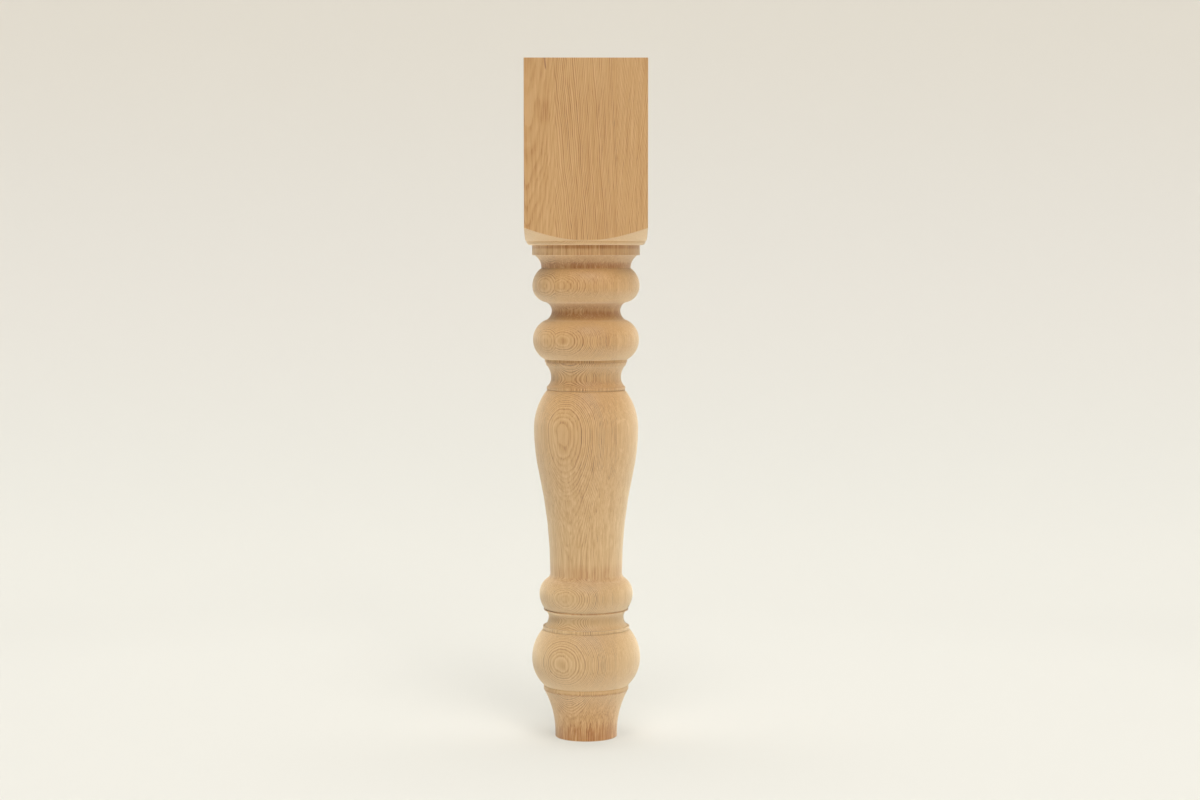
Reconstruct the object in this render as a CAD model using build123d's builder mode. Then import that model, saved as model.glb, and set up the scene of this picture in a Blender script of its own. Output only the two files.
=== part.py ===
from build123d import *
import os
from math import radians, sqrt, tan

# Turned oak leg for a dining table, one piece of wood 711.2 mm (28 in) tall
# A 127 mm (5 in) square block takes the table's rails, and a lathe-turned column stands under it.
# Millimetres, +Z up, origin at the centre of the foot's underside, block faces along X and Y.
# Each turned member is given from the floor up, as radii and as heights above the one below.

# Foot, which flares from a narrow toe up to its top
foot_height = 50.8
foot_radius = 32.7
foot_straight = 4.0
foot_edge = 0.5
foot_top_radius = 44.8

# Listel, the narrow ring that the ball stands on
listel_height = 3.7
listel_radius = 45.0

# Ball
ball_bottom_radius = 43.5
ball_below = 29.8
ball_radius = 57.3
ball_above = 30.8
ball_top_radius = 45.4

# Ring on top of the ball
ball_ring_height = 3.3
ball_ring_radius = 45.8

# Cove over the ball
low_cove_bottom_radius = 43.4
low_cove_below = 9.6
low_cove_radius = 39.7
low_cove_above = 7.5
low_cove_top_radius = 44.2

# Low bead, with a fine lip at its lower edge
lip_height = 1.2
lip_radius = 44.8
low_bead_bottom_radius = 43.8
low_bead_below = 16.4
low_bead_radius = 49.4
low_bead_above = 16.0
low_bead_top_radius = 40.4

# Vase: a slim neck, a long taper of two arcs that meet in line, a full belly and a round shoulder
neck_height = 5.5
neck_radius = 38.0
taper_lower_height = 106.3
taper_upper_height = 47.5
belly_radius = 55.0
vase_shoulder_height = 40.5
vase_top_radius = 40.8

# Ring on the vase
vase_ring_height = 3.2
vase_ring_radius = 41.4

# High cove, with a tapered band at its upper edge
high_cove_bottom_radius = 41.2
high_cove_below = 9.5
high_cove_radius = 36.8
high_cove_above = 12.5
high_cove_top_radius = 41.0
taper_band_height = 3.9
taper_band_bottom_radius = 41.6
taper_band_top_radius = 42.9

# Ring under the lower of the two big beads
bead_ring_height = 3.1
bead_ring_radius = 43.4

# Lower big bead
lower_bead_bottom_radius = 44.2
lower_bead_below = 20.6
lower_bead_radius = 55.8
lower_bead_above = 21.0
lower_bead_top_radius = 41.0

# Waist between the two big beads
waist_below = 9.4
waist_radius = 36.1
waist_above = 8.6
waist_top_radius = 41.9

# Upper big bead
upper_bead_below = 17.4
upper_bead_radius = 56.4
upper_bead_above = 18.6

# Cavetto, the hollow under the collar
cavetto_radius = 46.9
cavetto_height = 13.5
cavetto_top_radius = 54.0

# Collar, the plain ring under the block
collar_height = 10.5
collar_radius = 56.6

# Block, and its sanded arrises
block_width = 127.0
block_length = 190.5
arris_radius = 1.0

# Turned shoulder, which cuts the block's lower corners to a cone with a rounded edge
shoulder_radius = 62.6
shoulder_edge_radius = 4.3
shoulder_angle = 26.0
cutter_margin = 5.0

# Quirk, the fine V cut by the skew where a member meets a ring
quirk_depth = 0.8
quirk_angle = 30.0
quirk_clearance = 1.2


# Each of these draws one stretch of the outline from the pen, a (radius, height) point,
# and returns the point that the outline has come to.
def ledge(pen, radius):
    """A flat step to another radius."""
    end = (radius, pen[1])
    if radius != pen[0]:
        Line(pen, end)
    return end


def band(pen, height, top_radius):
    """A straight side, upright or tapered."""
    end = (top_radius, pen[1] + height)
    Line(pen, end)
    return end


def flare(pen, height, top_radius):
    """A hollow that leaves the pen upright and opens upwards."""
    end = (top_radius, pen[1] + height)
    TangentArc(pen, end, tangent=(0, 1))
    return end


def swell(pen, below, radius, above, top_radius):
    """A bead, or a cove where the radius is the smallest, upright at its middle."""
    middle = (radius, pen[1] + below)
    end = (top_radius, middle[1] + above)
    TangentArc(middle, pen, tangent=(0, -1))
    TangentArc(middle, end, tangent=(0, 1))
    return end


def vase_taper(pen):
    """The long taper from the neck to the belly, hollow below and full above."""
    height = taper_lower_height + taper_upper_height
    belly = (belly_radius, pen[1] + height)
    turn_radius = neck_radius + (belly_radius - neck_radius) * taper_lower_height / height
    turn = (turn_radius, pen[1] + taper_lower_height)
    TangentArc(pen, turn, tangent=(0, 1))
    TangentArc(belly, turn, tangent=(0, -1))
    return belly


def foot_and_ball():
    """Draws the outline from the floor to the ring on the ball. Returns its end and its quirks."""
    Polyline((0, 0), (foot_radius - foot_edge, 0), (foot_radius, foot_edge))
    pen = band((foot_radius, foot_edge), foot_straight - foot_edge, foot_radius)
    foot_top = flare(pen, foot_height - foot_straight, foot_top_radius)
    pen = band(ledge(foot_top, listel_radius), listel_height, listel_radius)
    pen = ledge(pen, ball_bottom_radius)
    ball_top = swell(pen, ball_below, ball_radius, ball_above, ball_top_radius)
    pen = band(ledge(ball_top, ball_ring_radius), ball_ring_height, ball_ring_radius)
    return pen, [foot_top, ball_top]


def low_cove_and_bead(pen):
    """Draws the cove over the ball and the low bead. Returns the outline's end and its quirk."""
    pen = ledge(pen, low_cove_bottom_radius)
    pen = swell(pen, low_cove_below, low_cove_radius, low_cove_above, low_cove_top_radius)
    pen = band(ledge(pen, lip_radius), lip_height, lip_radius)
    bead_bottom = ledge(pen, low_bead_bottom_radius)
    pen = swell(bead_bottom, low_bead_below, low_bead_radius, low_bead_above, low_bead_top_radius)
    return pen, [bead_bottom]


def vase(pen):
    """Draws the neck, taper, belly and shoulder, and the ring on top. Returns as above."""
    neck = (neck_radius, pen[1] + neck_height)
    TangentArc(neck, pen, tangent=(0, -1))
    belly = vase_taper(neck)
    vase_top = (vase_top_radius, belly[1] + vase_shoulder_height)
    TangentArc(belly, vase_top, tangent=(0, 1))
    pen = band(ledge(vase_top, vase_ring_radius), vase_ring_height, vase_ring_radius)
    return pen, [vase_top]


def high_cove_and_beads(pen):
    """Draws the high cove, the two big beads and the waist between them. Returns as above."""
    pen = ledge(pen, high_cove_bottom_radius)
    pen = swell(pen, high_cove_below, high_cove_radius, high_cove_above, high_cove_top_radius)
    pen = ledge(pen, taper_band_bottom_radius)
    band_top = band(pen, taper_band_height, taper_band_top_radius)
    pen = band(ledge(band_top, bead_ring_radius), bead_ring_height, bead_ring_radius)
    pen = ledge(pen, lower_bead_bottom_radius)
    pen = swell(pen, lower_bead_below, lower_bead_radius, lower_bead_above, lower_bead_top_radius)
    pen = swell(pen, waist_below, waist_radius, waist_above, waist_top_radius)
    pen = swell(pen, upper_bead_below, upper_bead_radius, upper_bead_above, cavetto_radius)
    return pen, [band_top]


def cavetto_and_collar(pen):
    """Draws the hollow and the collar, and closes the outline. Returns the height of the block."""
    pen = flare(pen, cavetto_height, cavetto_top_radius)
    pen = band(ledge(pen, collar_radius), collar_height, collar_radius)
    Polyline(pen, (0, pen[1]), (0, 0))
    return pen[1]


def shoulder_waste(block_bottom):
    """Draws the outline of what the lathe takes off the block's lower corners."""
    reach = block_width / sqrt(2) + cutter_margin
    rise = (reach - shoulder_radius) * tan(radians(shoulder_angle))
    edge_top = (shoulder_radius, block_bottom + shoulder_edge_radius)
    edge_bottom = (shoulder_radius - shoulder_edge_radius, block_bottom)
    RadiusArc(edge_top, edge_bottom, shoulder_edge_radius)
    Polyline(edge_top, (reach, edge_top[1] + rise), (reach, block_bottom), edge_bottom)


with BuildPart() as turned_leg:
    # Turned column, from the floor to the block
    with BuildSketch(Plane.XZ):
        with BuildLine():
            outline_pen, quirks = foot_and_ball()
            for draw_members in (low_cove_and_bead, vase, high_cove_and_beads):
                outline_pen, more_quirks = draw_members(outline_pen)
                quirks += more_quirks
            column_height = cavetto_and_collar(outline_pen)
        make_face()
    revolve(axis=Axis.Z)

    # Quirks, V cuts at the edges of the rings, lip and listel
    quirk_half = (quirk_depth + quirk_clearance) * tan(radians(quirk_angle / 2))
    quirk_mouth = [(quirk_clearance, -quirk_half), (quirk_clearance, quirk_half)]
    with BuildSketch(Plane.XZ):
        with Locations(quirks):
            Polygon((-quirk_depth, 0), *quirk_mouth, align=None)
    revolve(axis=Axis.Z, mode=Mode.SUBTRACT)

    # Square block with its long edges eased
    with BuildSketch(Plane.XY.offset(column_height)):
        RectangleRounded(block_width, block_width, arris_radius)
    extrude(amount=block_length)

    # Shoulder turned on the block's lower corners
    with BuildSketch(Plane.XZ):
        with BuildLine():
            shoulder_waste(column_height)
        make_face()
    revolve(axis=Axis.Z, mode=Mode.SUBTRACT)

turned_leg.part.label = "turned_leg"
os.makedirs("parts", exist_ok=True)
export_step(turned_leg.part, "parts/turned_leg.step")
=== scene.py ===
import cmath
from math import atan2, cos, degrees, pi, radians, sin, sqrt, tan

import bpy
import numpy as np
from mathutils import Euler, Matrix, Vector


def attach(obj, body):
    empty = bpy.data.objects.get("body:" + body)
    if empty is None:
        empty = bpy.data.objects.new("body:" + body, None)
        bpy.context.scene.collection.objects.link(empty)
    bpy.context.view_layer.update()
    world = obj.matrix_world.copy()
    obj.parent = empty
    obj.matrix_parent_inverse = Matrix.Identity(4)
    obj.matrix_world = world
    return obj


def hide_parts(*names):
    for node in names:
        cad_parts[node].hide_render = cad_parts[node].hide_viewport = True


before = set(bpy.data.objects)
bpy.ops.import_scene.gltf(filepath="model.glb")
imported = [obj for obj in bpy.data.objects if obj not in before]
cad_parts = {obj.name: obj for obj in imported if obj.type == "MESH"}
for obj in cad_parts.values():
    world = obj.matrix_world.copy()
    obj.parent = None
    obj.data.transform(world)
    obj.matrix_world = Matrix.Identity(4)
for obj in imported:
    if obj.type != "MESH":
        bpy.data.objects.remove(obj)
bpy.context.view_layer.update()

MILLIMETRE = 0.001

# Sizes of the leg, in millimetres
BLOCK_HALF = 63.5
BLOCK_BOTTOM = 520.7
BLOCK_TOP = 711.2
ARRIS_RADIUS = 1.0
SHOULDER_RADIUS = 62.6
SHOULDER_EDGE = 4.3
SHOULDER_SLOPE = tan(radians(26.0))
COLLAR_RADIUS = 56.6
FOOT_RADIUS = 32.7
FOOT_EDGE = 0.5
FOOT_STRAIGHT = 3.5
NECK_RADIUS = 38.0
BELLY_RADIUS = 55.0
TAPER_LOWER = 106.3
TAPER_UPPER = 47.5

# Edges as sanding has left them: how far crisp corners are eased, the size of the quirks, which are
# fine V cuts under the rings, and the fillet where the shoulder's rounded edge meets its cone,
# in steps outwards and up from the end of that edge
EASE = 0.35
QUIRK_DEPTH = 0.35
QUIRK_HALF = 0.25
SHOULDER_FILLET = ((0.0, -0.7), (0.16, -0.10), (0.63, 0.307))

# Fineness of the mesh: degrees in a step of an arc, steps round a face and an arris of the block,
# degrees of the rows on the shoulder's edge, radii of the rows under the foot, heights of the rows
# up the block, the first row in from its top edge, and the rest there as shares of the whole
ARC_STEP = 3.0
FACE_STEPS = 54
ARRIS_STEPS = 6
EDGE_TURNS = (15, 30, 45, 60, 75)
FOOT_ROWS = (6.0, 14.0, 22.0, 29.0)
BLOCK_ROWS = (600.0, 640.0, 675.0, 690.0, 699.4, 701.6, 703.8, 706.0, 708.2, 709.8)
TOP_RIM = 3.2
TOP_SHARES = (0.8, 0.55, 0.3, 0.1)
SHARP_ANGLE = 38.0

# Small end check in the top of the block's front face: its place, how far it leans on its way down,
# its size, how far to each side the mesh follows it, how near other columns may come, as an angle,
# and how far down its painted shade is at its full darkness
CHECK_X = -42.4
CHECK_LEAN = 1.7
CHECK_LENGTH = 13.5
CHECK_DEPTH = 0.7
CHECK_HALF_WIDTH = 0.5
CHECK_MARGIN = 1.6
CHECK_CLEARANCE = radians(0.8)
CHECK_DARK = 9.0

# Camera, in metres and degrees, with its focal length in pixels of a frame 1200 wide
IMAGE_WIDTH = 1200.0
FOCAL_PIXELS = 2344.4
SENSOR_WIDTH = 36.0
CAMERA_PLACE = (0.0, -2.4678, 0.5148)
CAMERA_PITCH = 3.643
CAMERA_YAW = 0.342

# Radiance of the studio's surroundings: all round, how much more on the right, overhead behind, in
# the softbox, which is a wide patch high in front, and as the camera and reflections see the room
ROUND_LIGHT = 0.11
ROUND_TILT = 0.05
OVERHEAD_LIGHT = 5.7
SOFTBOX_LIGHT = 8.2
ROOM_SHOWN = 0.76
ROOM_COLOUR = (1.0, 0.98, 0.94, 1)

# Softbox: its direction, and the angles from its middle where it begins to fade and where it ends
SOFTBOX_AZIMUTH = 8.0
SOFTBOX_ELEVATION = 60.0
SOFTBOX_FULL = 13.0
SOFTBOX_END = 20.0

# Lamp: the point that it is aimed at, its direction from there, its distance and size in metres,
# what it adds to a white card, and its colour
LAMP_AIM = (0.0, 0.0, 0.35)
LAMP_AZIMUTH = 19.5
LAMP_ELEVATION = 33.5
LAMP_DISTANCE = 3.2
LAMP_SIZE = 0.6
LAMP_BRIGHTNESS = 0.14
LAMP_COLOUR = (1.0, 0.97, 0.90)

# Paper of the floor and backdrop as the camera sees it: the share that is its own glow, and the
# glow's colours
PAPER_GLOW = 0.65
PAPER_SHOWN_FLOOR = (0.655, 0.65, 0.59, 1)
PAPER_SHOWN_MIDDLE = (0.68, 0.65, 0.585, 1)
PAPER_SHOWN_TOP = (0.69, 0.64, 0.545, 1)

# Colours of the paper itself, which throws light on the leg: near it, further out, and behind it.
# It is paler near the leg, a painted pool of light on the floor there
PAPER_NEAR = (0.93, 0.91, 0.86, 1)
PAPER_FAR = (0.62, 0.60, 0.56, 1)
PAPER_BEHIND = (0.90, 0.88, 0.83, 1)

# Sweep of floor and backdrop, in metres, and the steps of its curve
BACKDROP_HALF_WIDTH = 7.0
FLOOR_FRONT = -5.0
SWEEP_START = 1.6
SWEEP_RADIUS = 2.4
SWEEP_STEPS = 40
BACKDROP_HEIGHT = 5.0

# Glue lines of the blank, which is three boards wide. The left one is further out low down.
SEAM_X = 31.75
LOW_SEAM_X = 47.0
SEAM_STEP_Z = 385.0

# How far the noise is shifted along x, y and z, each for the left, middle and right board
BOARD_SHIFTS = ((410.0, 0.0, -530.0), (120.0, 0.0, 260.0), (900.0, 0.0, 1700.0))

# Pith of the left, middle and right board, in millimetres: x and y at one height, and how far they
# drift per millimetre above it, in the column and in the block
COLUMN_PITHS = ((-153.0, -129.0, 0.0, 0.0), (-131.0, -270.0, 0.0, 0.0), (212.0, 132.0, 0.0, 0.0))
BLOCK_PITHS = (
    (-60.0, -163.0, 0.0, 0.03), (-131.0, -270.0, -0.015, -0.031), (212.0, 132.0, 0.065, 0.041),
)
PITH_HEIGHT = 616.0

# Growth rings: the distance between them, in the column and in the block, and each board's seed
RING_SPACING = 1.12
BLOCK_RING_SPACING = 0.95
RING_SEEDS = (31.0, 77.0, 113.0)

# Strength of the ring lines for the left, middle and right board: in the column, with what is added
# in the two big beads and what is added to that in the block
RING_SHARES = (0.50, 1.0, 0.6)
BEADS_RING_SHARES = (0.55, -0.50, 0.1)
BLOCK_RING_SHARES = (-0.50, 0.20, -0.15)

# How much darker the wood gets by its features, and each board by its own tone
EARLY_STRENGTH = 0.64
LATE_STRENGTH = 0.36
PORE_STRENGTH = 0.30
FIBRE_STRENGTH = 0.90
STREAK_STRENGTH = 0.52
TONE_STRENGTH = 0.30
RAY_FLECK_STRENGTH = 0.14
RAY_LINE_STRENGTH = 0.16
BOARD_TONES = (0.02, 0.0, -0.03)

# Heights with a look of their own. Of four heights, it starts at the first, is whole between the
# second and the third, and is gone at the last. Of two, it changes from the one to the other.
TAPER_ZONE = (150.0, 185.0, 230.0, 320.0)
# Heights painted paler, as light from the bright floor on the low turnings
FLOOR_LIGHT_ZONE = (30.0, 90.0, 120.0, 520.0)
FOOT_TOP = (20.0, 52.0)
BEADS_BOTTOM = (392.0, 455.0)
# Middle and reach of the painted shade on the collar
COLLAR_MIDDLE = 515.4
COLLAR_REACH = 9.0

# Drift of the fibres, from slow to quick: its noise's size across and along, detail, and reach
DRIFTS = ((150, 380, 1.0, 10.0), (38, 120, 2.0, 2.2), (9, 26, 1.0, 1.1))

# Rays: millimetres between them round the pith, out from it and along the leg, each board's usual
# distance from its pith, and the reach of a ray in those directions as shares of that spacing
RAY_SPACING = 6.5
RAY_SPACING_OUT = 26.0
RAY_SPACING_ALONG = 34.0
PITH_DISTANCES = (200.0, 300.0, 250.0)
RAY_SIZES = (0.045, 0.42, 0.38)

# Patches of figure on the block's front: x, height, their reaches, and how much darker
PATCHES = (
    (-57.5, 660.0, 6.5, 34.0, -0.14),
    (-43.5, 657.0, 8.0, 13.0, 0.14),
    (22.0, 708.0, 40.0, 50.0, -0.06),
)

# Heights painted darker, as shade in hollows and creases and near the floor, or painted paler, as
# light in corners that the shapes shade too much, where the strength is below zero: middle, reach,
# strength
PAINTED_SHADE_BANDS = (
    (0.0, 24.0, 0.20), (50.4, 0.9, 0.24), (54.0, 2.8, -0.40), (126.0, 11.0, -0.10),
    (136.0, 2.4, 0.13), (176.0, 14.0, 0.08), (375.0, 9.0, 0.06), (398.0, 1.2, 0.10),
    (448.0, 6.5, 0.22), (458.5, 6.0, 0.15), (499.6, 5.0, 0.19), (508.0, 7.0, 0.09),
    (518.6, 2.5, 0.14), (523.8, 3.1, -0.17), (525.3, 1.2, -0.12),
)

# Shade of plain wood, the tones from pale to dark by shade, and tints that paint light and shade:
# paler low down and underneath as painted floor light, deeper orange in hollows and on slopes that
# face up, and dark in the end check, as painted shade
BASE_SHADE = 0.306
TONES = (
    (0.0, (0.74, 0.505, 0.250, 1)), (0.45, (0.575, 0.328, 0.118, 1)),
    (0.72, (0.44, 0.200, 0.058, 1)), (1.0, (0.17, 0.07, 0.022, 1)),
)
PAINTED_FLOOR_LIGHT_TINT = (0.50, 0.46, 0.31, 1)
PAINTED_SHADE_TINT = (0.46, 0.17, 0.035, 1)
PAINTED_UNDERSIDE_LIGHT_TINT = (0.75, 0.58, 0.36, 1)
PAINTED_SLOPE_SHADE_TINT = (0.62, 0.33, 0.085, 1)
CHECK_SHADE_TINT = (0.33, 0.12, 0.04, 1)


class Outline:
    """Draws the turned outline, each point as radius + height times 1j, from the floor up."""

    def __init__(self, start):
        self.points = [start]
        self.eased = set()

    @property
    def pen(self):
        return self.points[-1]

    def ease(self):
        """Marks the pen's point as a corner that sanding has softened."""
        self.eased.add(len(self.points) - 1)

    def to(self, radius, height=0.0):
        """A straight run to a radius, and up by a height."""
        self.points.append(complex(radius, self.pen.imag + height))

    def arc(self, start, end, tangent):
        """Points after start, on the arc that leaves start along tangent and comes to end."""
        chord = end - start
        half_turn = cmath.phase(chord / tangent)
        steps = max(3, int(round(abs(degrees(2 * half_turn)) / ARC_STEP)))
        turns = [half_turn * k / steps for k in range(1, steps + 1)]
        scale = abs(chord) / sin(half_turn)
        return [start + scale * sin(t) * tangent * cmath.exp(1j * t) for t in turns]

    def leave_upright(self, height, radius):
        """An arc that leaves the pen upright."""
        self.points += self.arc(self.pen, complex(radius, self.pen.imag + height), 1j)

    def arrive_upright(self, height, radius):
        """An arc that comes to its end upright."""
        start, end = self.pen, complex(radius, self.pen.imag + height)
        back = self.arc(end, start, -1j)
        self.points += back[-2::-1] + [end]

    def swell(self, below, radius, above, top_radius):
        """A bead, or a cove where the radius is the smallest."""
        self.arrive_upright(below, radius)
        self.leave_upright(above, top_radius)

    def ring(self, radius, height):
        """A ring, over the fine V cut that parts it from the member below."""
        corner, before = self.points[-1], self.points[-2]
        along = (before - corner) / abs(before - corner)
        self.points[-1] = corner + along * QUIRK_HALF
        self.points.append(corner - QUIRK_DEPTH)
        self.points.append(complex(radius, corner.imag + QUIRK_HALF))
        self.to(radius, height - QUIRK_HALF)

    def softened(self):
        """The outline with its marked corners rounded off."""
        found = []
        for k, p in enumerate(self.points):
            if k not in self.eased:
                found.append(p)
                continue
            before, after = self.points[k - 1] - p, self.points[k + 1] - p
            reach = min(EASE, 0.4 * abs(before), 0.4 * abs(after))
            a = p + before / abs(before) * reach
            b = p + after / abs(after) * reach
            found += [a, (a + 2 * p + b) / 4 * 0.7 + (a + b) / 2 * 0.3, b]
        return found


def turned_outline():
    """The column's outline, from the foot's edge to the top of the collar."""
    # Foot and listel
    line = Outline(complex(FOOT_RADIUS - FOOT_EDGE, 0.0))
    line.to(FOOT_RADIUS, FOOT_EDGE)
    line.to(FOOT_RADIUS, FOOT_STRAIGHT)
    line.leave_upright(height=46.8, radius=44.8)
    line.ring(radius=45.0, height=3.7)
    line.ease()

    # Ball, with the corner at its foot a little filled, and the ring on it
    line.to(44.6, 0.9)
    line.swell(below=28.9, radius=57.3, above=30.8, top_radius=45.4)
    line.ring(radius=45.8, height=3.3)
    line.ease()

    # Low cove, lip and low bead
    line.to(43.4)
    line.swell(below=9.6, radius=39.7, above=7.5, top_radius=44.2)
    line.to(44.8)
    line.ease()
    line.to(44.8, 1.2)
    line.ease()
    line.to(44.2)
    line.to(43.95, QUIRK_HALF)
    line.swell(below=16.4 - QUIRK_HALF, radius=49.4, above=16.0, top_radius=40.4)

    # Vase, whose taper is two arcs that meet in line, and the ring on it
    line.arrive_upright(height=5.5, radius=NECK_RADIUS)
    rise = BELLY_RADIUS - NECK_RADIUS
    turn_radius = NECK_RADIUS + rise * TAPER_LOWER / (TAPER_LOWER + TAPER_UPPER)
    line.leave_upright(height=TAPER_LOWER, radius=turn_radius)
    line.arrive_upright(height=TAPER_UPPER, radius=BELLY_RADIUS)
    line.leave_upright(height=40.5, radius=40.8)
    line.ring(radius=41.4, height=3.2)
    line.ease()

    # High cove, tapered band and ring
    line.to(41.2)
    line.swell(below=9.5, radius=36.8, above=12.5, top_radius=41.0)
    line.to(41.6)
    line.ease()
    line.to(42.9, 3.9)
    line.ring(radius=43.4, height=3.1)

    # Two big beads with the waist between them
    line.to(44.2)
    line.swell(below=20.6, radius=55.8, above=21.0, top_radius=41.0)
    line.swell(below=9.4, radius=36.1, above=8.6, top_radius=41.9)
    line.swell(below=17.4, radius=56.4, above=18.6, top_radius=46.9)

    # Cavetto and collar
    line.leave_upright(height=13.5, radius=54.0)
    line.to(COLLAR_RADIUS)
    line.ease()
    line.to(COLLAR_RADIUS, 10.5)
    return line.softened()


def square_reach(azimuth):
    """Distance from the axis to the block's side, and so to its rounded arris, at an azimuth."""
    local = (azimuth + pi / 4) % (pi / 2) - pi / 4
    centre = BLOCK_HALF - ARRIS_RADIUS
    if abs(tan(local)) * BLOCK_HALF <= centre:
        return BLOCK_HALF / cos(local)
    along = centre * (cos(local) + abs(sin(local)))
    return along + sqrt(along * along - 2 * centre * centre + ARRIS_RADIUS * ARRIS_RADIUS)


def column_azimuths():
    """Azimuths of the mesh's columns, close at the arrises and the check, and the check's own."""
    centre = BLOCK_HALF - ARRIS_RADIUS
    arris = []
    for k in range(ARRIS_STEPS + 1):
        turn = pi / 2 * k / ARRIS_STEPS
        arris.append(atan2(centre + ARRIS_RADIUS * sin(turn), centre + ARRIS_RADIUS * cos(turn)))
    first, last = arris[-1], arris[0] + pi / 2
    face = [first + (last - first) * k / FACE_STEPS for k in range(1, FACE_STEPS)]
    found = [a + pi / 2 * quarter for quarter in range(4) for a in arris + face]
    found = [a % (2 * pi) for a in found]
    check = []
    for offset in (-CHECK_MARGIN, -CHECK_HALF_WIDTH, 0.0, CHECK_HALF_WIDTH, CHECK_MARGIN):
        check.append(atan2(-BLOCK_HALF, CHECK_X + offset) % (2 * pi))
    found = [a for a in found if min(abs(a - c) for c in check) > CHECK_CLEARANCE]
    return sorted(found + check), check[2]


def leg_rows(azimuths):
    """Rows of (radius, height) for each column, from the foot's middle to the block's middle."""
    reach = np.array([square_reach(a) for a in azimuths])
    ones = np.ones(len(azimuths))
    rows = [(ones * r, ones * 0.0) for r in FOOT_ROWS]
    rows += [(ones * p.real, ones * p.imag) for p in turned_outline()]

    # Shoulder: its rounded edge, its fillet and its cone
    edge_foot = SHOULDER_RADIUS - SHOULDER_EDGE
    rows.append((ones * edge_foot, ones * BLOCK_BOTTOM))
    for turn in np.radians(EDGE_TURNS):
        r = edge_foot + SHOULDER_EDGE * sin(turn)
        z = BLOCK_BOTTOM + SHOULDER_EDGE * (1 - cos(turn))
        rows.append((ones * r, ones * z))
    cone_foot = BLOCK_BOTTOM + SHOULDER_EDGE
    for outward, upward in SHOULDER_FILLET:
        rows.append((ones * (SHOULDER_RADIUS + outward), ones * (cone_foot + upward)))
    for share in (0.35, 0.7):
        r = SHOULDER_RADIUS + (reach - SHOULDER_RADIUS) * share
        rows.append((r, cone_foot + (r - SHOULDER_RADIUS) * SHOULDER_SLOPE))
    cone_top = cone_foot + (reach - SHOULDER_RADIUS) * SHOULDER_SLOPE

    # Eased edge between the cone and the block's faces, and the faces
    rows.append((reach - EASE * 0.8, cone_top - EASE * 0.8 * SHOULDER_SLOPE))
    rows.append((reach - EASE * 0.12, cone_top + EASE * 0.2))
    rows.append((reach, cone_top + EASE))
    for share in (0.3, 0.65):
        rows.append((reach, cone_top + EASE + (BLOCK_ROWS[0] - cone_top) * share))
    rows += [(reach, ones * z) for z in BLOCK_ROWS + (BLOCK_TOP - EASE,)]

    # Eased top edge, and the top
    rows.append((reach - EASE * 0.3, ones * (BLOCK_TOP - EASE * 0.3)))
    rows.append((reach - EASE, ones * BLOCK_TOP))
    rows.append((reach * (1 - TOP_RIM / BLOCK_HALF), ones * BLOCK_TOP))
    rows += [(reach * share, ones * BLOCK_TOP) for share in TOP_SHARES]
    return rows


def cut_check(points, middle):
    """Opens the end check, a narrow V that leans and closes on its way down."""
    columns = points.shape[1]
    for row in points:
        behind_face = BLOCK_HALF + row[middle, 1]
        if row[middle, 2] < BLOCK_TOP - CHECK_LENGTH or behind_face > 1.0:
            continue
        down = (BLOCK_TOP - row[middle, 2]) / CHECK_LENGTH
        for step, share in ((-2, 0.5), (-1, 1.0), (0, 1.0), (1, 1.0), (2, 0.5)):
            row[(middle + step) % columns, 0] += CHECK_LEAN * down * share
        for step in (-1, 1):
            side = row[(middle + step) % columns]
            side[0] += (row[middle, 0] - side[0]) * down * 0.9
        row[middle, 1] += CHECK_DEPTH * (1 - down)


def build_leg():
    """The whole leg as one closed mesh, a grid of rows and columns round its axis."""
    azimuths, check_azimuth = column_azimuths()
    rows = leg_rows(azimuths)
    turns = np.array(azimuths)
    points = np.stack([np.stack([r * np.cos(turns), r * np.sin(turns), z], 1) for r, z in rows])
    cut_check(points, azimuths.index(check_azimuth))
    count, columns = points.shape[:2]
    verts = np.concatenate([points.reshape(-1, 3), [[0, 0, 0], [0, 0, BLOCK_TOP]]]) * MILLIMETRE
    faces = []
    for i in range(count - 1):
        low, high = i * columns, (i + 1) * columns
        for j in range(columns):
            k = (j + 1) % columns
            faces.append((low + j, low + k, high + k, high + j))
    bottom, top, last = count * columns, count * columns + 1, (count - 1) * columns
    for j in range(columns):
        k = (j + 1) % columns
        faces.append((bottom, k, j))
        faces.append((top, last + j, last + k))
    mesh = bpy.data.meshes.new("leg_wood")
    mesh.from_pydata(verts.tolist(), [], faces)
    mesh.update()
    mesh.polygons.foreach_set("use_smooth", [True] * len(mesh.polygons))
    mesh.set_sharp_from_angle(angle=radians(SHARP_ANGLE))
    leg = bpy.data.objects.new("leg_wood", mesh)
    bpy.context.scene.collection.objects.link(leg)
    return leg


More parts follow.
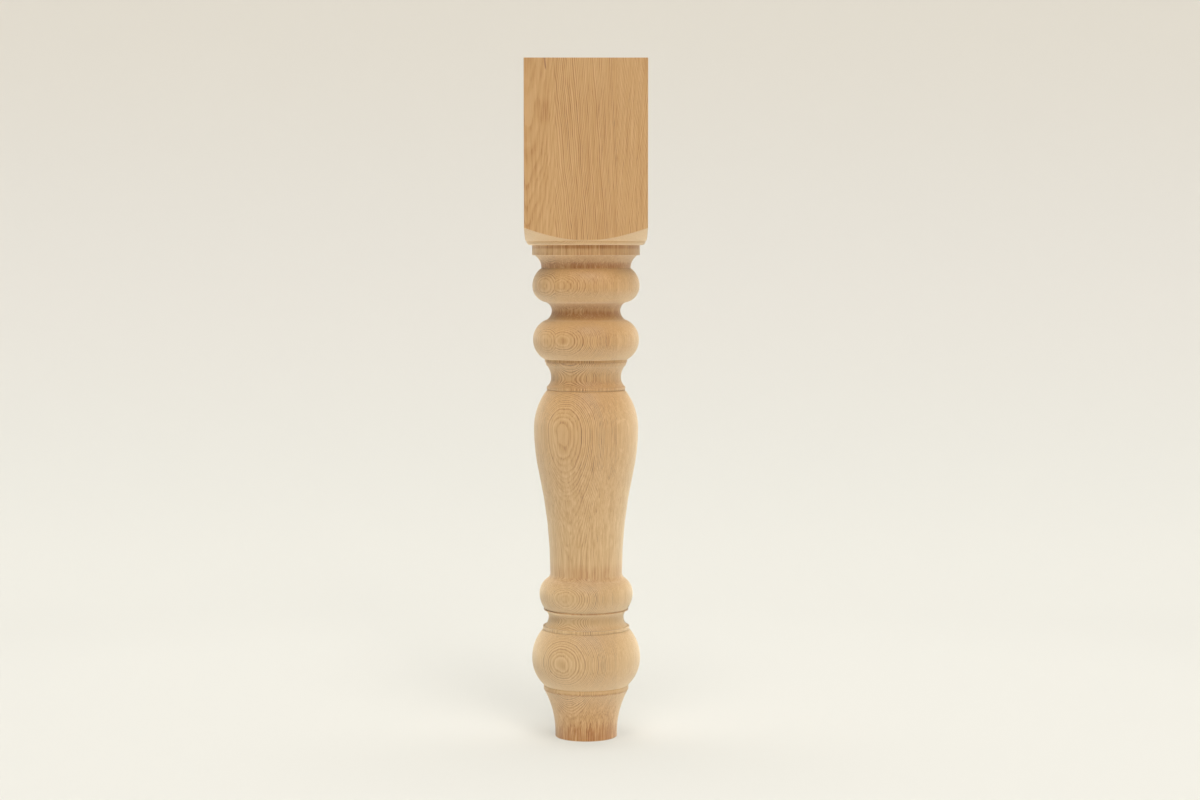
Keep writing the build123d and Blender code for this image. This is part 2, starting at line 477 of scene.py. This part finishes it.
class Graph:
    """Adds nodes to a node tree and links them, with plain numbers set on the sockets."""

    def __init__(self, tree):
        self.tree = tree

    def node(self, kind, inputs=(), **settings):
        made = self.tree.nodes.new(kind)
        for key, value in settings.items():
            setattr(made, key, value)
        for key, value in dict(inputs).items():
            self.feed(made.inputs[key], value)
        return made

    def feed(self, socket, value):
        if isinstance(value, bpy.types.NodeSocket):
            self.tree.links.new(value, socket)
        else:
            socket.default_value = value

    def math(self, operation, *values, clamp=False):
        made = self.node("ShaderNodeMath", operation=operation, use_clamp=clamp)
        for socket, value in zip(made.inputs, values):
            self.feed(socket, value)
        return made.outputs[0]

    def add(self, a, b):
        return self.math("ADD", a, b)

    def sub(self, a, b):
        return self.math("SUBTRACT", a, b)

    def mul(self, a, b):
        return self.math("MULTIPLY", a, b)

    def mul_add(self, a, b, c):
        return self.math("MULTIPLY_ADD", a, b, c)

    def absolute(self, value):
        return self.math("ABSOLUTE", value)

    def vector(self, operation, *values):
        made = self.node("ShaderNodeVectorMath", operation=operation)
        for socket, value in zip(made.inputs, values):
            self.feed(socket, value)
        return made.outputs["Value" if operation in ("DOT_PRODUCT", "LENGTH") else "Vector"]

    def combine(self, x, y, z):
        return self.node("ShaderNodeCombineXYZ", {"X": x, "Y": y, "Z": z}).outputs[0]

    def split(self, vector):
        return self.node("ShaderNodeSeparateXYZ", {"Vector": vector}).outputs

    def ramp(self, value, low, high, start=0.0, end=1.0):
        """Smooth step of a value from start to end, as the value goes from low to high."""
        limits = {"From Min": low, "From Max": high, "To Min": start, "To Max": end}
        inputs = {"Value": value, **limits}
        made = self.node("ShaderNodeMapRange", inputs, interpolation_type="SMOOTHSTEP")
        return made.outputs["Result"]

    def fall(self, value, low, high):
        """Smooth step from one to nothing, as the value goes from low to high."""
        return self.ramp(value, low, high, 1.0, 0.0)

    def stretched(self, place, across, along):
        """A place in units of this many millimetres across the leg and along it."""
        return self.vector("MULTIPLY", place, (1 / across, 1 / across, 1 / along))

    def noise(self, place, detail=2.0, roughness=0.5):
        """Noise of about one feature a unit, centred on zero."""
        inputs = {"Vector": place, "Scale": 1.0, "Detail": detail, "Roughness": roughness}
        return self.sub(self.node("ShaderNodeTexNoise", inputs).outputs["Fac"], 0.5)

    def noise_line(self, place, detail=1.0):
        """The same along a line, from a single number."""
        inputs = {"W": place, "Scale": 1.0, "Detail": detail}
        made = self.node("ShaderNodeTexNoise", inputs, noise_dimensions="1D")
        return self.sub(made.outputs["Fac"], 0.5)

    def cells(self, place):
        """Distance to the nearest cell point, and the offset from it."""
        made = self.node("ShaderNodeTexVoronoi", {"Vector": place, "Scale": 1.0}, feature="F1")
        return made.outputs["Distance"], self.vector("SUBTRACT", place, made.outputs["Position"])

    def chance(self, value):
        """A number between zero and one, drawn for a value."""
        made = self.node("ShaderNodeTexWhiteNoise", {"W": value}, noise_dimensions="1D")
        return made.outputs["Value"]

    def mix(self, share, a, b):
        """Colour a, with a share of colour b."""
        made = self.node("ShaderNodeMix", data_type="RGBA")
        self.feed(made.inputs["Factor"], share)
        self.feed(made.inputs[6], a)
        self.feed(made.inputs[7], b)
        return made.outputs[2]


def empty_material(name):
    material = bpy.data.materials.new(name)
    material.use_nodes = True
    material.node_tree.nodes.clear()
    return material


class Oak(Graph):
    """Sanded raw oak of three glued boards, solid through the leg: rings, pores, rays, fibres."""

    def __init__(self, tree):
        super().__init__(tree)
        metres = self.node("ShaderNodeTexCoord").outputs["Object"]
        self.place = self.vector("SCALE", metres)
        self.place.node.inputs["Scale"].default_value = 1 / MILLIMETRE
        self.x, self.y, self.z = self.split(self.place)
        self.normal = self.node("ShaderNodeTexCoord").outputs["Normal"]
        self.rise = self.split(self.normal)[2]
        self.find_boards()
        self.find_grain()
        self.find_rings()
        self.find_pores()
        self.find_rays()
        self.fibres = self.noise(self.stretched(self.grain, 0.9, 34), 3.0, 0.6)
        self.streaks = self.noise(self.stretched(self.grain, 2.6, 110), 3.0, 0.6)
        self.tone = self.noise(self.stretched(self.own, 40, 130), 2.0)
        self.streaky = self.mul_add(self.add(self.fibres, self.streaks), 3.0, 1.0)

    def pick(self, values):
        """A number for the left, middle and right board."""
        a, b, c = values
        return self.mul_add(self.right, c - b, self.mul_add(self.left, a - b, b))

    def pick_pith(self, index):
        """One number of the pith that a board has here, in the column or in the block."""
        column = self.pick([pith[index] for pith in COLUMN_PITHS])
        solid = self.pick([pith[index] for pith in BLOCK_PITHS])
        return self.add(column, self.mul(self.block, self.sub(solid, column)))

    def height_band(self, middle, reach):
        """One at a height, and nothing further than reach from it."""
        return self.fall(self.absolute(self.sub(self.z, middle)), 0.2 * reach, reach)

    def zone(self, heights):
        """One between the middle two of four heights, and nothing outside the outer two."""
        return self.mul(self.ramp(self.z, *heights[:2]), self.fall(self.z, *heights[2:]))

    def find_boards(self):
        """Which board a place is in, and whether it is in the block and on its front."""
        below_step = self.math("LESS_THAN", self.z, SEAM_STEP_Z)
        self.left_seam = self.mul_add(below_step, SEAM_X - LOW_SEAM_X, -SEAM_X)
        self.left = self.math("LESS_THAN", self.x, self.left_seam)
        self.right = self.math("GREATER_THAN", self.x, SEAM_X)
        self.block = self.math("GREATER_THAN", self.z, BLOCK_BOTTOM + 0.5)
        self.front = self.fall(self.y, 1.0 - BLOCK_HALF, 2.0 - BLOCK_HALF)

    def wander(self, across, along, detail, reach):
        """Sideways drift of the fibres, up to about half of reach."""
        inputs = {"Vector": self.stretched(self.own, across, along), "Scale": 1.0, "Detail": detail}
        noise = self.node("ShaderNodeTexNoise", inputs).outputs["Color"]
        centred = self.vector("SUBTRACT", noise, (0.5, 0.5, 0.5))
        return self.vector("MULTIPLY", centred, (reach, reach, 0.0))

    def find_grain(self):
        """The place as the fibres see it, which wander slowly, in each board in its own way."""
        board_shift = self.combine(*(self.pick(shifts) for shifts in BOARD_SHIFTS))
        self.own = self.vector("ADD", self.place, board_shift)
        slow, quick, small = (self.wander(*drift) for drift in DRIFTS)
        drift = self.vector("ADD", self.vector("ADD", slow, quick), small)
        self.grain = self.vector("ADD", self.own, drift)
        self.gx, self.gy, self.gz = self.split(self.vector("SUBTRACT", self.grain, board_shift))

    def find_rings(self):
        """Growth rings round each board's pith."""
        above = self.sub(self.z, PITH_HEIGHT)
        pith_x = self.add(self.pick_pith(0), self.mul(above, self.pick_pith(2)))
        pith_y = self.add(self.pick_pith(1), self.mul(above, self.pick_pith(3)))
        dx, dy = self.sub(self.gx, pith_x), self.sub(self.gy, pith_y)
        self.angle = self.math("ARCTAN2", dy, dx)
        self.radius = self.math("SQRT", self.add(self.mul(dx, dx), self.mul(dy, dy)))
        spacing = self.mul_add(self.block, BLOCK_RING_SPACING - RING_SPACING, RING_SPACING)
        self.even = self.math("DIVIDE", self.radius, spacing)
        rings = self.add(self.even, self.mul(self.noise_line(self.mul(self.even, 0.17)), 1.6))
        self.phase = self.math("FRACT", rings)
        strength = self.chance(self.add(self.math("FLOOR", rings), self.pick(RING_SEEDS)))
        outward = self.vector("NORMALIZE", self.combine(dx, dy, 0.0))
        self.facing = self.absolute(self.vector("DOT_PRODUCT", outward, self.normal))

        # Early wood is open and dark, late wood dense and pale, both weak where the cut is flat
        flat = self.ramp(self.facing, 0.90, 0.985, 1.0, 0.40)
        early = self.mul(self.ramp(self.phase, 0.0, 0.12), self.fall(self.phase, 0.15, 0.6))
        late = self.mul(self.ramp(self.phase, 0.55, 0.75), self.fall(self.phase, 0.85, 1.0))
        self.early = self.mul(self.mul(early, flat), self.mul_add(strength, 0.6, 0.4))
        late = self.mul(self.mul(late, flat), strength)
        late = self.mul(late, LATE_STRENGTH)
        self.ring_lines = self.sub(self.mul(self.early, EARLY_STRENGTH), late)

    def find_pores(self):
        """Long vessels, thick and close in the early wood, few and fine in the late wood."""
        wide, _ = self.cells(self.stretched(self.grain, 1.2, 17))
        fine, _ = self.cells(self.stretched(self.grain, 0.55, 15))
        patchy = self.noise(self.stretched(self.grain, 3.0, 60), 2.0)
        patchy = self.ramp(patchy, -0.25, 0.2, 0.35, 1.0)
        big = self.mul(self.fall(wide, 0.22, 0.36), self.ramp(self.phase, 0.02, 0.08))
        big = self.mul(self.mul(big, self.fall(self.phase, 0.3, 0.42)), patchy)
        small = self.mul(self.fall(fine, 0.13, 0.24), 0.45)
        self.pores = self.math("MAXIMUM", big, small)

    def find_rays(self):
        """Thin sheets that run out from the pith."""
        turns = self.pick([distance / RAY_SPACING for distance in PITH_DISTANCES])
        turn = self.mul(self.angle, turns)
        out = self.mul(self.radius, 1 / RAY_SPACING_OUT)
        along = self.mul(self.gz, 1 / RAY_SPACING_ALONG)
        _, off = self.cells(self.combine(turn, out, along))
        shares = self.vector("MULTIPLY", off, tuple(1 / size for size in RAY_SIZES))
        self.ray = self.fall(self.vector("LENGTH", shares), 0.55, 1.0)

    def grain_shade(self):
        """Darkness of the rings, pores, fibres and rays, by board and by height."""
        plain = self.add(self.zone(TAPER_ZONE), self.fall(self.z, *FOOT_TOP))
        beads = self.ramp(self.z, *BEADS_BOTTOM)
        ring_share = self.mul_add(beads, self.pick(BEADS_RING_SHARES), self.pick(RING_SHARES))
        ring_share = self.mul_add(self.block, self.pick(BLOCK_RING_SHARES), ring_share)
        ring_share = self.mul(ring_share, self.mul_add(plain, -0.6, 1.0))
        pore_share = self.mul_add(self.block, -0.10, PORE_STRENGTH)
        fibre_share = self.mul_add(plain, 0.30, self.mul_add(self.block, -0.22, FIBRE_STRENGTH))
        streak_share = self.mul_add(plain, 0.60, STREAK_STRENGTH)
        ray_fleck = self.mul(self.ray, self.ramp(self.facing, 0.3, 0.8))
        ray_line = self.mul(self.ray, self.fall(self.facing, 0.1, 0.5))
        shade = self.mul(self.ring_lines, ring_share)
        shade = self.add(shade, self.mul(self.pores, pore_share))
        shade = self.add(shade, self.mul(self.fibres, fibre_share))
        shade = self.add(shade, self.mul(self.streaks, streak_share))
        shade = self.add(shade, self.mul(self.tone, TONE_STRENGTH))
        shade = self.add(shade, self.mul(ray_fleck, RAY_FLECK_STRENGTH))
        return self.sub(shade, self.mul(ray_line, RAY_LINE_STRENGTH))

    def end_grain_shade(self):
        """Darkness of the flat top and bottom, where the cut runs across the rings."""
        groups = self.mul_add(self.noise_line(self.mul(self.even, 0.16), 2.0), 0.9, 0.10)
        lines = self.mul_add(self.ray, -0.25, self.mul(self.ring_lines, 0.6))
        flat_end = self.ramp(self.mul(self.rise, self.rise), 0.9, 0.99)
        return self.mul(flat_end, self.add(groups, lines))

    def painted_band_shade(self):
        """Painted shade in hollows and creases, and painted light where a band's strength is below
        zero.
        """
        painted_shade = 0.0
        for middle, reach, strength in PAINTED_SHADE_BANDS:
            painted_shade = self.add(painted_shade, self.mul(self.height_band(middle, reach), strength))
        return self.mul(painted_shade, self.streaky)

    def patch_shade(self, patch_x, patch_z, reach_x, reach_z, strength):
        """Darkness of one patch on the block's front."""
        across = self.fall(self.absolute(self.sub(self.gx, patch_x)), 0.3 * reach_x, 1.3 * reach_x)
        along = self.fall(self.absolute(self.sub(self.z, patch_z)), 0.3 * reach_z, 1.3 * reach_z)
        patch = self.mul(self.front, self.mul(across, along))
        return self.mul(self.mul(patch, strength), self.streaky)

    def check_shade_mask(self):
        """One inside the end check, where its painted shade goes."""
        lean = self.mul(self.sub(BLOCK_TOP, self.z), CHECK_LEAN / CHECK_LENGTH)
        off_middle = self.absolute(self.sub(lean, self.sub(self.x, CHECK_X)))
        near_face = self.fall(self.y, 3.0 - BLOCK_HALF, 3.5 - BLOCK_HALF)
        inside = self.mul(self.fall(off_middle, 0.4, 0.9), near_face)
        return self.mul(inside, self.ramp(self.z, BLOCK_TOP - CHECK_LENGTH, BLOCK_TOP - CHECK_DARK))

    def seam_shade(self):
        """Darkness of the fine glue lines."""
        to_left = self.absolute(self.sub(self.x, self.left_seam))
        to_right = self.absolute(self.sub(self.x, SEAM_X))
        return self.ramp(self.math("MINIMUM", to_left, to_right), 0.06, 0.22, 0.1, 0.0)

    def collar_painted_shade(self):
        """Painted shade on the collar: darker on its right and paler on its left, as the light
        falls on it.
        """
        below_block = self.math("LESS_THAN", self.z, BLOCK_BOTTOM + 0.2)
        collar = self.mul(self.height_band(COLLAR_MIDDLE, COLLAR_REACH), below_block)
        return self.mul(collar, self.mul_add(self.x, 0.0030, -0.04))

    def colour(self):
        """The wood's colour: its tones by shade, with painted light and shade tinted in by height
        and by which way it faces.
        """
        floor_light = self.zone(FLOOR_LIGHT_ZONE)
        painted_shade = self.painted_band_shade()
        shade = self.add(self.grain_shade(), self.end_grain_shade())
        # painted light: paler low down, where the bright floor lights the turnings
        shade = self.sub(shade, self.mul(floor_light, 0.06))
        # painted shade in hollows, creases and quirks, and painted light where a band is below zero
        shade = self.add(shade, painted_shade)
        for patch in PATCHES:
            shade = self.add(shade, self.patch_shade(*patch))
        # painted shade on the collar, stronger to the right
        shade = self.add(shade, self.collar_painted_shade())
        shade = self.add(shade, self.pick(BOARD_TONES))
        shade = self.add(shade, self.seam_shade())
        shade = self.math("ADD", shade, BASE_SHADE, clamp=True)
        tones = self.node("ShaderNodeValToRGB", {"Fac": shade})
        stops = tones.color_ramp.elements
        for position, _ in TONES[1:-1]:
            stops.new(position)
        for stop, (_, tone) in zip(stops, TONES):
            stop.color = tone

        # painted floor light tints the low turnings paler
        wood = self.mix(self.mul(floor_light, 0.24), tones.outputs["Color"], PAINTED_FLOOR_LIGHT_TINT)
        # painted shade in the same bands, tinted deeper orange as light bounced between wood
        # surfaces
        wood = self.mix(self.mul(painted_shade, 2.4), wood, PAINTED_SHADE_TINT)
        # painted light: undersides paler, as the bright floor lights them and glints on them
        under = self.ramp(self.rise, -0.75, -0.05, 0.55, 0.0)
        under = self.mul(under, self.ramp(self.z, 100.0, 450.0, 1.0, 0.70))
        wood = self.mix(under, wood, PAINTED_UNDERSIDE_LIGHT_TINT)
        # painted shade: slopes that face up tinted deeper orange, where the softbox's sheen pales
        # them
        slope = self.mul(self.ramp(self.rise, 0.1, 0.7, 0.0, 0.35), self.fall(self.rise, 0.9, 0.99))
        slope = self.mul(slope, self.ramp(self.z, 150.0, 330.0, 0.35, 1.0))
        wood = self.mix(slope, wood, PAINTED_SLOPE_SHADE_TINT)
        # painted shade inside the end check
        return self.mix(self.mul(self.check_shade_mask(), 0.85), wood, CHECK_SHADE_TINT)

    def finish(self):
        """Adds the shader, matt and a little fuzzy, with the pores and fibres as fine relief."""
        fibre_roughness = self.mul_add(self.fibres, 0.2, 0.52)
        roughness = self.math("ADD", self.mul(self.pores, 0.2), fibre_roughness, clamp=True)
        sunk = self.add(self.pores, self.mul(self.early, 0.3))
        relief = self.sub(self.mul(self.fibres, 0.25), sunk)
        inputs = {"Height": relief, "Strength": 0.6, "Distance": 0.12 * MILLIMETRE}
        bump = self.node("ShaderNodeBump", inputs).outputs["Normal"]
        looks = {"Base Color": self.colour(), "Roughness": roughness, "Normal": bump}
        shader = self.node("ShaderNodeBsdfPrincipled", looks)
        shader.inputs["Diffuse Roughness"].default_value = 1.0
        shader.inputs["Sheen Tint"].default_value = (1.0, 0.96, 0.80, 1)
        shader.inputs["Sheen Weight"].default_value = 0.5
        shader.inputs["Sheen Roughness"].default_value = 0.6
        self.node("ShaderNodeOutputMaterial", {"Surface": shader.outputs[0]})


def oak_material():
    material = empty_material("oak")
    Oak(material.node_tree).finish()
    return material


def seen_directly(g):
    """One where the camera sees a surface, straight, through glass or in a reflection."""
    path = g.node("ShaderNodeLightPath").outputs
    direct = g.math("MAXIMUM", path["Is Camera Ray"], path["Is Glossy Ray"])
    return g.math("MAXIMUM", direct, path["Is Transmission Ray"])


def paper_material():
    """Matt pale paper for the floor and backdrop, a little darker as it climbs."""
    material = empty_material("paper")
    g = Graph(material.node_tree)
    x, y, z = g.split(g.node("ShaderNodeTexCoord").outputs["Object"])
    shown = g.mix(g.ramp(z, 0.0, 0.45), PAPER_SHOWN_FLOOR, PAPER_SHOWN_MIDDLE)
    shown = g.mix(g.ramp(z, 0.4, 1.2), shown, PAPER_SHOWN_TOP)
    away = g.vector("LENGTH", g.combine(x, y, 0.0))
    # painted pool of light: the paper is paler near the leg
    own = g.mix(g.ramp(away, 0.7, 2.0), PAPER_NEAR, PAPER_FAR)
    own = g.mix(g.ramp(y, 0.4, 1.0), own, PAPER_BEHIND)
    diffuse = g.node("ShaderNodeBsdfDiffuse", {"Color": own})
    glow = g.node("ShaderNodeEmission", {"Color": shown, "Strength": 1.0})
    seen = g.mul(seen_directly(g), PAPER_GLOW)
    surface = g.node("ShaderNodeMixShader", {0: seen, 1: diffuse.outputs[0], 2: glow.outputs[0]})
    g.node("ShaderNodeOutputMaterial", {"Surface": surface.outputs[0]})
    return material


def build_backdrop():
    """A floor that sweeps up into a wall behind the leg."""
    line = [(FLOOR_FRONT, 0.0), (0.0, 0.0), (SWEEP_START, 0.0)]
    for k in range(1, SWEEP_STEPS + 1):
        turn = pi / 2 * k / SWEEP_STEPS
        line.append((SWEEP_START + SWEEP_RADIUS * sin(turn), SWEEP_RADIUS * (1 - cos(turn))))
    line.append((SWEEP_START + SWEEP_RADIUS, BACKDROP_HEIGHT))
    verts = [(side * BACKDROP_HALF_WIDTH, y, z) for y, z in line for side in (-1, 1)]
    faces = [(2 * k, 2 * k + 1, 2 * k + 3, 2 * k + 2) for k in range(len(line) - 1)]
    mesh = bpy.data.meshes.new("backdrop")
    mesh.from_pydata(verts, [], faces)
    mesh.polygons.foreach_set("use_smooth", [True] * len(mesh.polygons))
    mesh.materials.append(paper_material())
    backdrop = bpy.data.objects.new("backdrop", mesh)
    bpy.context.scene.collection.objects.link(backdrop)


def direction_to(azimuth, elevation):
    """Unit vector to an azimuth, from the front towards the right, and an elevation, in degrees."""
    a, e = radians(azimuth), radians(elevation)
    return Vector((sin(a) * cos(e), -cos(a) * cos(e), sin(e)))


def place_lamp():
    """A small round lamp in front, on the right, aimed at the leg's middle."""
    aim = Vector(LAMP_AIM)
    place = aim + LAMP_DISTANCE * direction_to(LAMP_AZIMUTH, LAMP_ELEVATION)
    lamp = bpy.data.lights.new("lamp", "AREA")
    lamp.shape, lamp.size = "DISK", LAMP_SIZE
    lamp.energy = LAMP_BRIGHTNESS * pi * pi * LAMP_DISTANCE * LAMP_DISTANCE
    lamp.color = LAMP_COLOUR
    item = bpy.data.objects.new("lamp", lamp)
    item.location = place
    item.rotation_euler = (place - aim).to_track_quat("Z", "Y").to_euler()
    bpy.context.scene.collection.objects.link(item)


def light_room():
    """A dim room with a softbox high in front and light overhead, which the camera sees as pale."""
    world = bpy.data.worlds.new("studio")
    world.use_nodes = True
    g = Graph(world.node_tree)
    background = world.node_tree.nodes["Background"]
    direction = g.node("ShaderNodeTexCoord").outputs["Generated"]
    x, y, z = g.split(direction)
    overhead = g.mul(g.ramp(z, 0.8, 0.95), g.ramp(y, -0.1, 0.2))
    middle = direction_to(SOFTBOX_AZIMUTH, SOFTBOX_ELEVATION)
    nearness = g.vector("DOT_PRODUCT", direction, middle)
    softbox = g.ramp(nearness, cos(radians(SOFTBOX_END)), cos(radians(SOFTBOX_FULL)))
    lights = g.add(g.mul(overhead, OVERHEAD_LIGHT), g.mul(softbox, SOFTBOX_LIGHT))
    strength = g.add(g.mul_add(x, ROUND_TILT, ROUND_LIGHT), lights)
    shown = seen_directly(g)
    strength = g.add(g.mul(strength, g.sub(1.0, shown)), g.mul(shown, ROOM_SHOWN))
    background.inputs["Color"].default_value = ROOM_COLOUR
    g.feed(background.inputs["Strength"], strength)
    bpy.context.scene.world = world


def place_camera():
    camera = bpy.data.cameras.new("camera")
    camera.sensor_width = SENSOR_WIDTH
    camera.lens = FOCAL_PIXELS / IMAGE_WIDTH * SENSOR_WIDTH
    camera.clip_start, camera.clip_end = 0.05, 50.0
    item = bpy.data.objects.new("camera", camera)
    item.location = CAMERA_PLACE
    item.rotation_euler = Euler((radians(90 - CAMERA_PITCH), 0, radians(-CAMERA_YAW)))
    bpy.context.scene.collection.objects.link(item)
    bpy.context.scene.camera = item


place_camera()
light_room()
place_lamp()
build_backdrop()
leg = build_leg()
leg.data.materials.append(oak_material())
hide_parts("turned_leg")
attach(leg, "root")
bpy.context.scene.view_settings.view_transform = "Standard"
